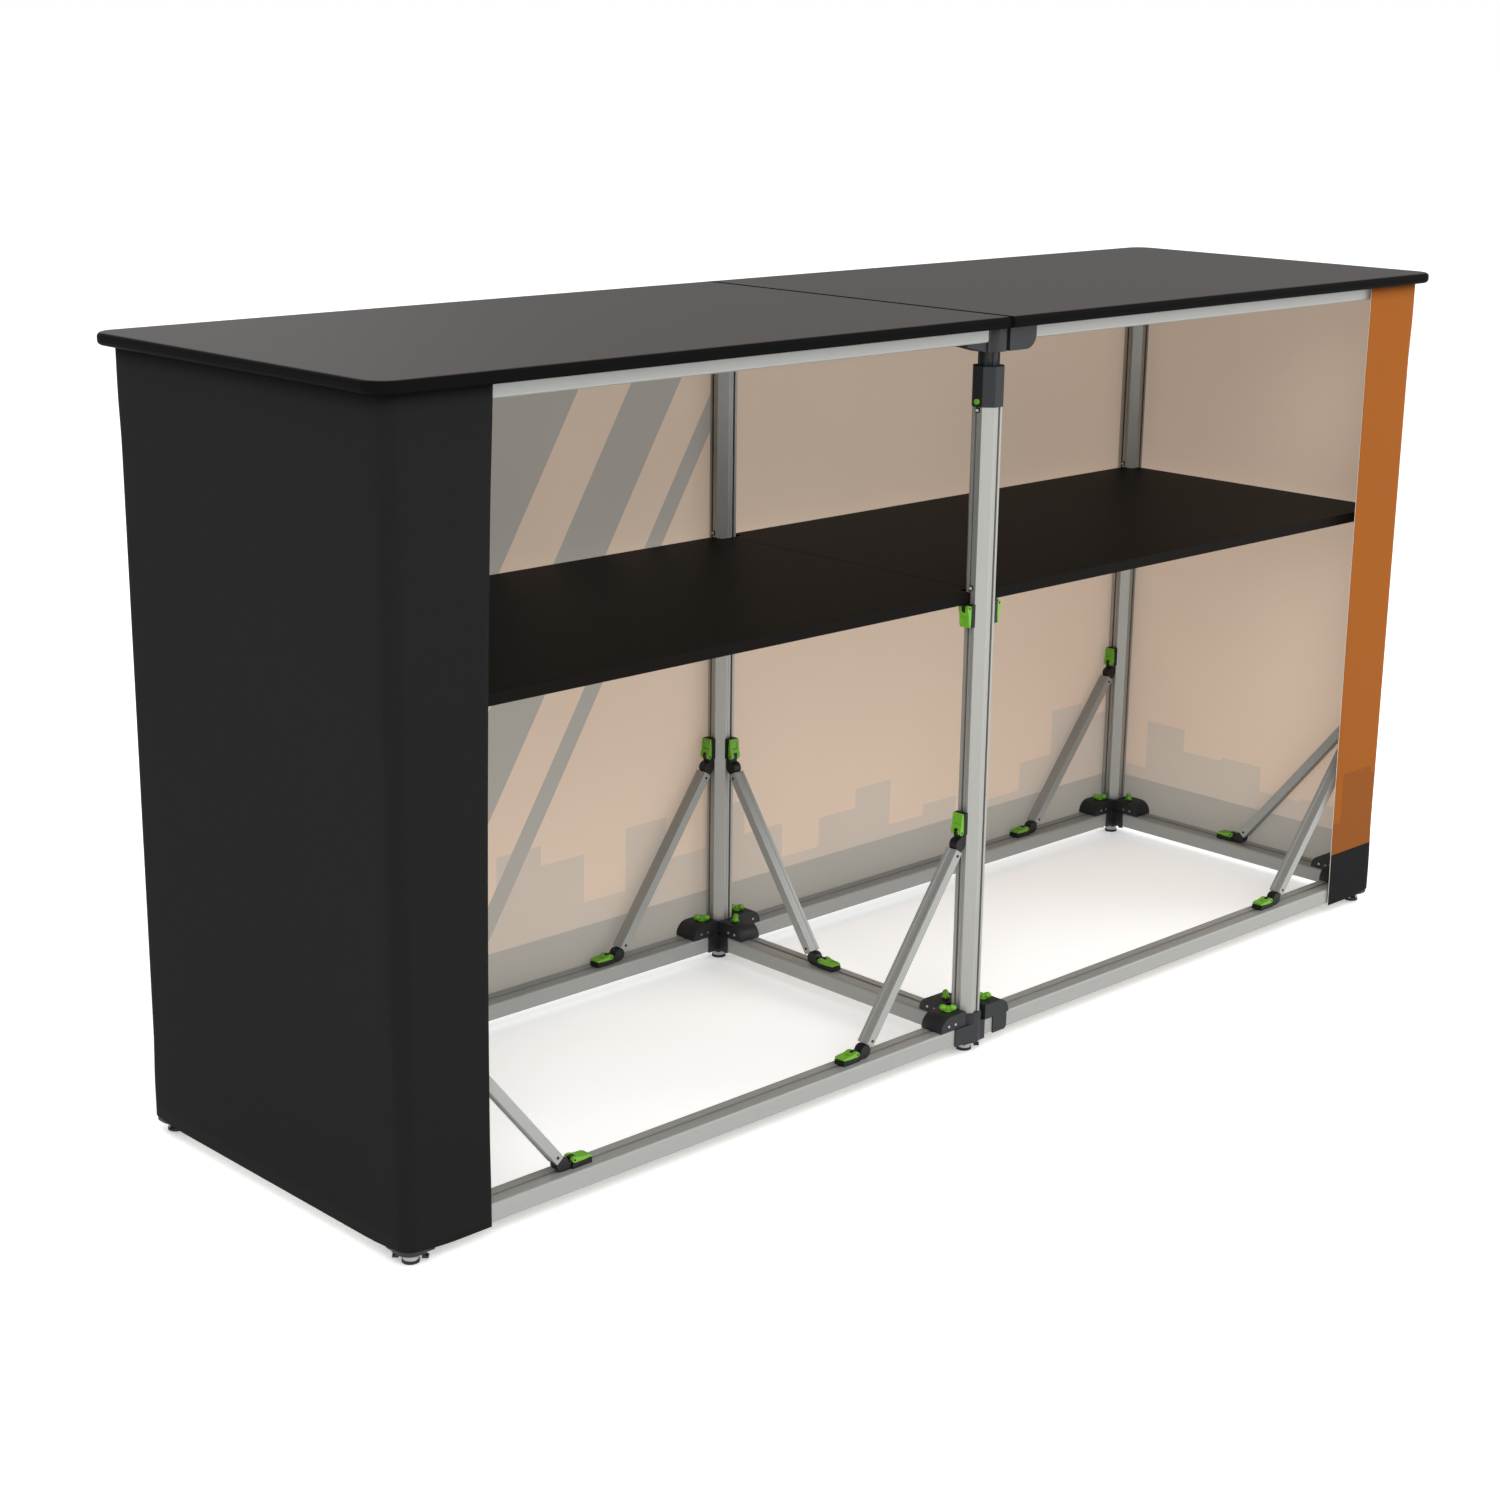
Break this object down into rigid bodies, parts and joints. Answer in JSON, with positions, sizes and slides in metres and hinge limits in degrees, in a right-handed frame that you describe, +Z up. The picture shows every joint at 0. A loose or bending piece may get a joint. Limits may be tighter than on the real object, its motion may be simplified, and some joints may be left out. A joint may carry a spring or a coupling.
{
  "type": "exhibition counter",
  "caption": "Knock-down exhibition counter: slotted aluminium frame with braces and clamp levers, dark worktops, inner shelves, and a stretched printed fabric skin round front and ends.",
  "frame": {"origin": "on the floor under the middle of the counter", "axes": "+Z up, +X along the counter, -Y the open side for the operator, +Y the fabric front"},
  "size_m": [2.088, 0.604, 1.066],
  "materials": {
    "worktop_laminate": "dark grey laminate on board, satin",
    "shelf_laminate": "black-brown laminate on board, matt",
    "anodised_aluminium": "extruded, natural anodised",
    "grey_plastic": "moulded, fine texture",
    "pale_plastic": "moulded",
    "black_plastic": "moulded",
    "green_plastic": "moulded, satin",
    "foot_rubber": "matt",
    "steel": "plain",
    "stretch_fabric": "printed stretch textile"
  },
  "bodies": {
    "frame": {"base_beams": "anodised_aluminium", "base_connectors": "grey_plastic", "brace_struts": "anodised_aluminium", "clamp_bodies": "black_plastic", "countertop_left": "worktop_laminate", "countertop_right": "worktop_laminate", "fabric_skin": "stretch_fabric", "foot_pads": "foot_rubber", "foot_stems": "pale_plastic", "lever_pins": "steel", "post_sleeves": "grey_plastic", "posts": "anodised_aluminium", "shelf_left": "shelf_laminate", "shelf_right": "shelf_laminate", "top_brackets": "grey_plastic", "top_rails": "anodised_aluminium"},
    "brace_lever_left_back_across_lower": {"brace_lever_left_back_across_lower": "green_plastic"},
    "brace_lever_left_back_across_upper": {"brace_lever_left_back_across_upper": "green_plastic"},
    "brace_lever_left_back_along_lower": {"brace_lever_left_back_along_lower": "green_plastic"},
    "brace_lever_left_back_along_upper": {"brace_lever_left_back_along_upper": "green_plastic"},
    "brace_lever_middle_back_along_lower": {"brace_lever_middle_back_along_lower": "green_plastic"},
    "brace_lever_middle_back_along_upper": {"brace_lever_middle_back_along_upper": "green_plastic"},
    "brace_lever_middle_front_across_lower": {"brace_lever_middle_front_across_lower": "green_plastic"},
    "brace_lever_middle_front_across_upper": {"brace_lever_middle_front_across_upper": "green_plastic"},
    "brace_lever_middle_front_along_lower": {"brace_lever_middle_front_along_lower": "green_plastic"},
    "brace_lever_middle_front_along_upper": {"brace_lever_middle_front_along_upper": "green_plastic"},
    "brace_lever_right_back_across_lower": {"brace_lever_right_back_across_lower": "green_plastic"},
    "brace_lever_right_back_across_upper": {"brace_lever_right_back_across_upper": "green_plastic"},
    "brace_lever_right_back_along_lower": {"brace_lever_right_back_along_lower": "green_plastic"},
    "brace_lever_right_back_along_upper": {"brace_lever_right_back_along_upper": "green_plastic"},
    "brace_lever_right_front_along_lower": {"brace_lever_right_front_along_lower": "green_plastic"},
    "brace_lever_right_front_along_upper": {"brace_lever_right_front_along_upper": "green_plastic"},
    "lock_button_left_back": {"lock_button_left_back": "green_plastic"},
    "lock_button_left_front": {"lock_button_left_front": "green_plastic"},
    "lock_button_middle_back": {"lock_button_middle_back": "green_plastic"},
    "lock_button_middle_front": {"lock_button_middle_front": "green_plastic"},
    "lock_button_right_back": {"lock_button_right_back": "green_plastic"},
    "lock_button_right_front": {"lock_button_right_front": "green_plastic"},
    "shelf_lever_left_back": {"shelf_lever_left_back": "green_plastic"},
    "shelf_lever_left_front": {"shelf_lever_left_front": "green_plastic"},
    "shelf_lever_middle_back_left": {"shelf_lever_middle_back_left": "green_plastic"},
    "shelf_lever_middle_back_right": {"shelf_lever_middle_back_right": "green_plastic"},
    "shelf_lever_middle_front_left": {"shelf_lever_middle_front_left": "green_plastic"},
    "shelf_lever_middle_front_right": {"shelf_lever_middle_front_right": "green_plastic"},
    "shelf_lever_right_back": {"shelf_lever_right_back": "green_plastic"},
    "shelf_lever_right_front": {"shelf_lever_right_front": "green_plastic"},
    "wing_knob_left_back_to_front": {"wing_knob_left_back_to_front": "green_plastic"},
    "wing_knob_left_back_to_right": {"wing_knob_left_back_to_right": "green_plastic"},
    "wing_knob_left_front_to_back": {"wing_knob_left_front_to_back": "green_plastic"},
    "wing_knob_left_front_to_right": {"wing_knob_left_front_to_right": "green_plastic"},
    "wing_knob_middle_back_to_front": {"wing_knob_middle_back_to_front": "green_plastic"},
    "wing_knob_middle_back_to_left": {"wing_knob_middle_back_to_left": "green_plastic"},
    "wing_knob_middle_back_to_right": {"wing_knob_middle_back_to_right": "green_plastic"},
    "wing_knob_middle_front_to_back": {"wing_knob_middle_front_to_back": "green_plastic"},
    "wing_knob_middle_front_to_left": {"wing_knob_middle_front_to_left": "green_plastic"},
    "wing_knob_middle_front_to_right": {"wing_knob_middle_front_to_right": "green_plastic"},
    "wing_knob_right_back_to_front": {"wing_knob_right_back_to_front": "green_plastic"},
    "wing_knob_right_back_to_left": {"wing_knob_right_back_to_left": "green_plastic"},
    "wing_knob_right_front_to_back": {"wing_knob_right_front_to_back": "green_plastic"},
    "wing_knob_right_front_to_left": {"wing_knob_right_front_to_left": "green_plastic"}
  },
  "joints": [
    {"name": "brace_lever_left_back_across_lower_turn", "type": "hinge", "parent": "frame", "child": "brace_lever_left_back_across_lower", "pos_m": [-1, -0.0108, 0.057], "axis": [1, 0, 0], "range_deg": [0, 90]},
    {"name": "brace_lever_left_back_across_upper_turn", "type": "hinge", "parent": "frame", "child": "brace_lever_left_back_across_upper", "pos_m": [-1, -0.231, 0.325], "axis": [-1, 0, 0], "range_deg": [0, 90]},
    {"name": "brace_lever_left_back_along_lower_turn", "type": "hinge", "parent": "frame", "child": "brace_lever_left_back_along_lower", "pos_m": [-0.7488, -0.262, 0.057], "axis": [0, -1, 0], "range_deg": [0, 90]},
    {"name": "brace_lever_left_back_along_upper_turn", "type": "hinge", "parent": "frame", "child": "brace_lever_left_back_along_upper", "pos_m": [-0.969, -0.262, 0.325], "axis": [0, 1, 0], "range_deg": [0, 90]},
    {"name": "brace_lever_middle_back_along_lower_turn", "type": "hinge", "parent": "frame", "child": "brace_lever_middle_back_along_lower", "pos_m": [-0.234, -0.262, 0.057], "axis": [0, 1, 0], "range_deg": [0, 90]},
    {"name": "brace_lever_middle_back_along_upper_turn", "type": "hinge", "parent": "frame", "child": "brace_lever_middle_back_along_upper", "pos_m": [-0.031, -0.262, 0.338], "axis": [0, -1, 0], "range_deg": [0, 90]},
    {"name": "brace_lever_middle_front_across_lower_turn", "type": "hinge", "parent": "frame", "child": "brace_lever_middle_front_across_lower", "pos_m": [0, 0.028, 0.057], "axis": [-1, 0, 0], "range_deg": [0, 90]},
    {"name": "brace_lever_middle_front_across_upper_turn", "type": "hinge", "parent": "frame", "child": "brace_lever_middle_front_across_upper", "pos_m": [0, 0.231, 0.338], "axis": [1, 0, 0], "range_deg": [0, 90]},
    {"name": "brace_lever_middle_front_along_lower_turn", "type": "hinge", "parent": "frame", "child": "brace_lever_middle_front_along_lower", "pos_m": [-0.234, 0.262, 0.057], "axis": [0, 1, 0], "range_deg": [0, 90]},
    {"name": "brace_lever_middle_front_along_upper_turn", "type": "hinge", "parent": "frame", "child": "brace_lever_middle_front_along_upper", "pos_m": [-0.031, 0.262, 0.338], "axis": [0, -1, 0], "range_deg": [0, 90]},
    {"name": "brace_lever_right_back_across_lower_turn", "type": "hinge", "parent": "frame", "child": "brace_lever_right_back_across_lower", "pos_m": [1, -0.0108, 0.057], "axis": [1, 0, 0], "range_deg": [0, 90]},
    {"name": "brace_lever_right_back_across_upper_turn", "type": "hinge", "parent": "frame", "child": "brace_lever_right_back_across_upper", "pos_m": [1, -0.231, 0.325], "axis": [-1, 0, 0], "range_deg": [0, 90]},
    {"name": "brace_lever_right_back_along_lower_turn", "type": "hinge", "parent": "frame", "child": "brace_lever_right_back_along_lower", "pos_m": [0.7488, -0.262, 0.057], "axis": [0, 1, 0], "range_deg": [0, 90]},
    {"name": "brace_lever_right_back_along_upper_turn", "type": "hinge", "parent": "frame", "child": "brace_lever_right_back_along_upper", "pos_m": [0.969, -0.262, 0.325], "axis": [0, -1, 0], "range_deg": [0, 90]},
    {"name": "brace_lever_right_front_along_lower_turn", "type": "hinge", "parent": "frame", "child": "brace_lever_right_front_along_lower", "pos_m": [0.7488, 0.262, 0.057], "axis": [0, 1, 0], "range_deg": [0, 90]},
    {"name": "brace_lever_right_front_along_upper_turn", "type": "hinge", "parent": "frame", "child": "brace_lever_right_front_along_upper", "pos_m": [0.969, 0.262, 0.325], "axis": [0, -1, 0], "range_deg": [0, 90]},
    {"name": "lock_button_left_back_press", "type": "slide", "parent": "frame", "child": "lock_button_left_back", "axis": [-1, 0, 0], "range_m": [0, 0.003], "stiffness_N_per_m": 400},
    {"name": "lock_button_left_front_press", "type": "slide", "parent": "frame", "child": "lock_button_left_front", "axis": [-1, 0, 0], "range_m": [0, 0.003], "stiffness_N_per_m": 400},
    {"name": "lock_button_middle_back_press", "type": "slide", "parent": "frame", "child": "lock_button_middle_back", "axis": [1, 0, 0], "range_m": [0, 0.003], "stiffness_N_per_m": 400},
    {"name": "lock_button_middle_front_press", "type": "slide", "parent": "frame", "child": "lock_button_middle_front", "axis": [1, 0, 0], "range_m": [0, 0.003], "stiffness_N_per_m": 400},
    {"name": "lock_button_right_back_press", "type": "slide", "parent": "frame", "child": "lock_button_right_back", "axis": [1, 0, 0], "range_m": [0, 0.003], "stiffness_N_per_m": 400},
    {"name": "lock_button_right_front_press", "type": "slide", "parent": "frame", "child": "lock_button_right_front", "axis": [1, 0, 0], "range_m": [0, 0.003], "stiffness_N_per_m": 400},
    {"name": "shelf_lever_left_back_turn", "type": "hinge", "parent": "frame", "child": "shelf_lever_left_back", "pos_m": [-0.969, -0.262, 0.664], "axis": [0, -1, 0], "range_deg": [0, 90]},
    {"name": "shelf_lever_left_front_turn", "type": "hinge", "parent": "frame", "child": "shelf_lever_left_front", "pos_m": [-0.969, 0.262, 0.664], "axis": [0, -1, 0], "range_deg": [0, 90]},
    {"name": "shelf_lever_middle_back_left_turn", "type": "hinge", "parent": "frame", "child": "shelf_lever_middle_back_left", "pos_m": [-0.031, -0.262, 0.664], "axis": [0, 1, 0], "range_deg": [0, 90]},
    {"name": "shelf_lever_middle_back_right_turn", "type": "hinge", "parent": "frame", "child": "shelf_lever_middle_back_right", "pos_m": [0.031, -0.262, 0.664], "axis": [0, -1, 0], "range_deg": [0, 90]},
    {"name": "shelf_lever_middle_front_left_turn", "type": "hinge", "parent": "frame", "child": "shelf_lever_middle_front_left", "pos_m": [-0.031, 0.262, 0.664], "axis": [0, 1, 0], "range_deg": [0, 90]},
    {"name": "shelf_lever_middle_front_right_turn", "type": "hinge", "parent": "frame", "child": "shelf_lever_middle_front_right", "pos_m": [0.031, 0.262, 0.664], "axis": [0, -1, 0], "range_deg": [0, 90]},
    {"name": "shelf_lever_right_back_turn", "type": "hinge", "parent": "frame", "child": "shelf_lever_right_back", "pos_m": [0.969, -0.262, 0.664], "axis": [0, 1, 0], "range_deg": [0, 90]},
    {"name": "shelf_lever_right_front_turn", "type": "hinge", "parent": "frame", "child": "shelf_lever_right_front", "pos_m": [0.969, 0.262, 0.664], "axis": [0, 1, 0], "range_deg": [0, 90]},
    {"name": "wing_knob_left_back_to_front_turn", "type": "hinge", "parent": "frame", "child": "wing_knob_left_back_to_front", "pos_m": [-1, -0.224, 0.068], "axis": [0, 0, 1], "range_deg": [0, 90]},
    {"name": "wing_knob_left_back_to_right_turn", "type": "hinge", "parent": "frame", "child": "wing_knob_left_back_to_right", "pos_m": [-0.962, -0.262, 0.068], "axis": [0, 0, 1], "range_deg": [0, 90]},
    {"name": "wing_knob_left_front_to_back_turn", "type": "hinge", "parent": "frame", "child": "wing_knob_left_front_to_back", "pos_m": [-1, 0.224, 0.068], "axis": [0, 0, 1], "range_deg": [0, 90]},
    {"name": "wing_knob_left_front_to_right_turn", "type": "hinge", "parent": "frame", "child": "wing_knob_left_front_to_right", "pos_m": [-0.962, 0.262, 0.068], "axis": [0, 0, 1], "range_deg": [0, 90]},
    {"name": "wing_knob_middle_back_to_front_turn", "type": "hinge", "parent": "frame", "child": "wing_knob_middle_back_to_front", "pos_m": [0, -0.224, 0.068], "axis": [0, 0, 1], "range_deg": [0, 90]},
    {"name": "wing_knob_middle_back_to_left_turn", "type": "hinge", "parent": "frame", "child": "wing_knob_middle_back_to_left", "pos_m": [-0.038, -0.262, 0.068], "axis": [0, 0, 1], "range_deg": [0, 90]},
    {"name": "wing_knob_middle_back_to_right_turn", "type": "hinge", "parent": "frame", "child": "wing_knob_middle_back_to_right", "pos_m": [0.038, -0.262, 0.068], "axis": [0, 0, 1], "range_deg": [0, 90]},
    {"name": "wing_knob_middle_front_to_back_turn", "type": "hinge", "parent": "frame", "child": "wing_knob_middle_front_to_back", "pos_m": [0, 0.224, 0.068], "axis": [0, 0, 1], "range_deg": [0, 90]},
    {"name": "wing_knob_middle_front_to_left_turn", "type": "hinge", "parent": "frame", "child": "wing_knob_middle_front_to_left", "pos_m": [-0.038, 0.262, 0.068], "axis": [0, 0, 1], "range_deg": [0, 90]},
    {"name": "wing_knob_middle_front_to_right_turn", "type": "hinge", "parent": "frame", "child": "wing_knob_middle_front_to_right", "pos_m": [0.038, 0.262, 0.068], "axis": [0, 0, 1], "range_deg": [0, 90]},
    {"name": "wing_knob_right_back_to_front_turn", "type": "hinge", "parent": "frame", "child": "wing_knob_right_back_to_front", "pos_m": [1, -0.224, 0.068], "axis": [0, 0, 1], "range_deg": [0, 90]},
    {"name": "wing_knob_right_back_to_left_turn", "type": "hinge", "parent": "frame", "child": "wing_knob_right_back_to_left", "pos_m": [0.962, -0.262, 0.068], "axis": [0, 0, 1], "range_deg": [0, 90]},
    {"name": "wing_knob_right_front_to_back_turn", "type": "hinge", "parent": "frame", "child": "wing_knob_right_front_to_back", "pos_m": [1, 0.224, 0.068], "axis": [0, 0, 1], "range_deg": [0, 90]},
    {"name": "wing_knob_right_front_to_left_turn", "type": "hinge", "parent": "frame", "child": "wing_knob_right_front_to_left", "pos_m": [0.962, 0.262, 0.068], "axis": [0, 0, 1], "range_deg": [0, 90]}
  ]
}
